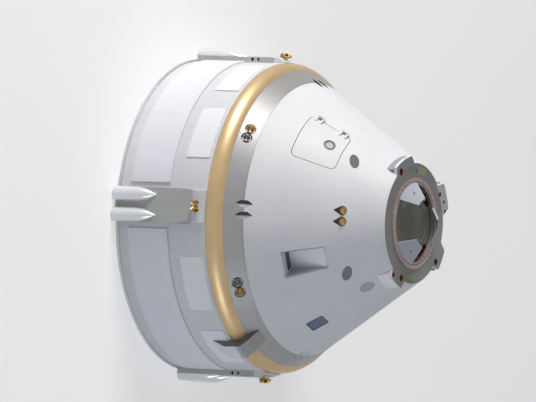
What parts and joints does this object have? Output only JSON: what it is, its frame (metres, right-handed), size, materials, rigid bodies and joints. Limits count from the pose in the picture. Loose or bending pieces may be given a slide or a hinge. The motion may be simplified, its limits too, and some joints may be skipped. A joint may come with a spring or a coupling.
{
  "type": "space capsule",
  "caption": "Crewed space capsule: blunt cone with side hatch and docking ring on a short cylindrical service module with four thruster pods.",
  "frame": {"origin": "centre of the aft rim's lower face, on the floor", "axes": "+Z along the vehicle's axis from the aft rim to the docking end; +X and +Y point to two of the four pods"},
  "size_m": [4.9208, 4.9208, 3.894],
  "materials": {
    "white_paint": "satin white",
    "drum_paint": "satin white",
    "radiator_paint": "smooth satin white",
    "pod_paint": "satin grey",
    "fairing_gloss": "gloss white",
    "shoulder_gold": "satin tan gold",
    "band_grey": "satin mid grey",
    "nozzle_gold": "brushed gold",
    "dark_metal": "matt dark grey",
    "bare_metal": "satin",
    "adapter_paint": "matt grey green",
    "copper_ring": "brown copper",
    "petal_paint": "satin pale blue grey",
    "hatch_olive": "matt olive grey",
    "port_grey": "matt dark grey",
    "blue_glass": "polished",
    "dark_glass": "polished",
    "window_grey": "satin",
    "seat_fabric": "woven",
    "floor_grey": "matt"
  },
  "bodies": {
    "capsule": {"aft_flange": "bare_metal", "aft_skirt": "drum_paint", "forward_barrel": "drum_paint", "aft_bulkhead": "bare_metal", "skirt_frames": "bare_metal", "bulkhead_ribs": "bare_metal", "docking_deck": "adapter_paint", "abort_engines": "dark_metal", "radiators": "radiator_paint", "side_panels": "radiator_paint", "heat_shield": "shoulder_gold", "cabin_floor": "floor_grey", "lower_backshell": "band_grey", "band_thrusters": "nozzle_gold", "cone_panel_1": "white_paint", "cone_panel_2": "white_paint", "cone_panel_3": "white_paint", "cone_panel_4": "white_paint", "port_covers": "port_grey", "cone_thrusters": "nozzle_gold", "hatch_hinges": "bare_metal", "blue_window": "blue_glass", "wedge_window": "window_grey", "scoops": "port_grey", "umbilical_fairing": "drum_paint", "side_jets": "nozzle_gold", "docking_adapter": "adapter_paint", "lobe_fairings": "white_paint", "seal_ring": "copper_ring", "docking_hooks": "white_paint", "dock_hinge": "bare_metal", "crew_seats": "seat_fabric", "instrument_panel": "dark_metal", "pod_base_1": "pod_paint", "pod_fairings_1": "fairing_gloss", "pod_thrusters_1": "nozzle_gold", "pod_base_2": "pod_paint", "pod_fairings_2": "fairing_gloss", "pod_thrusters_2": "nozzle_gold", "pod_base_3": "pod_paint", "pod_fairings_3": "fairing_gloss", "pod_thrusters_3": "nozzle_gold", "pod_base_4": "pod_paint", "pod_fairings_4": "fairing_gloss", "pod_thrusters_4": "nozzle_gold"},
    "side_hatch": {"side_hatch": "white_paint", "hatch_window": "dark_glass"},
    "docking_hatch": {"docking_hatch": "hatch_olive"},
    "capture_ring": {"capture_ring": "copper_ring", "guide_petals": "petal_paint"}
  },
  "joints": [
    {"name": "side_hatch_hinge", "type": "hinge", "parent": "capsule", "child": "side_hatch", "pos_m": [-1.34505, -0.80181, 2.69033], "axis": [-0.4703, -0.2804, -0.8368], "range_deg": [0, 110]},
    {"name": "docking_hatch_hinge", "type": "hinge", "parent": "capsule", "child": "docking_hatch", "pos_m": [0, 0.535, 3.5776], "axis": [1, 0, 0], "range_deg": [0, 90]},
    {"name": "capture_ring_slide", "type": "slide", "parent": "capsule", "child": "capture_ring", "axis": [0, 0, 1], "range_m": [0, 0.25]}
  ]
}
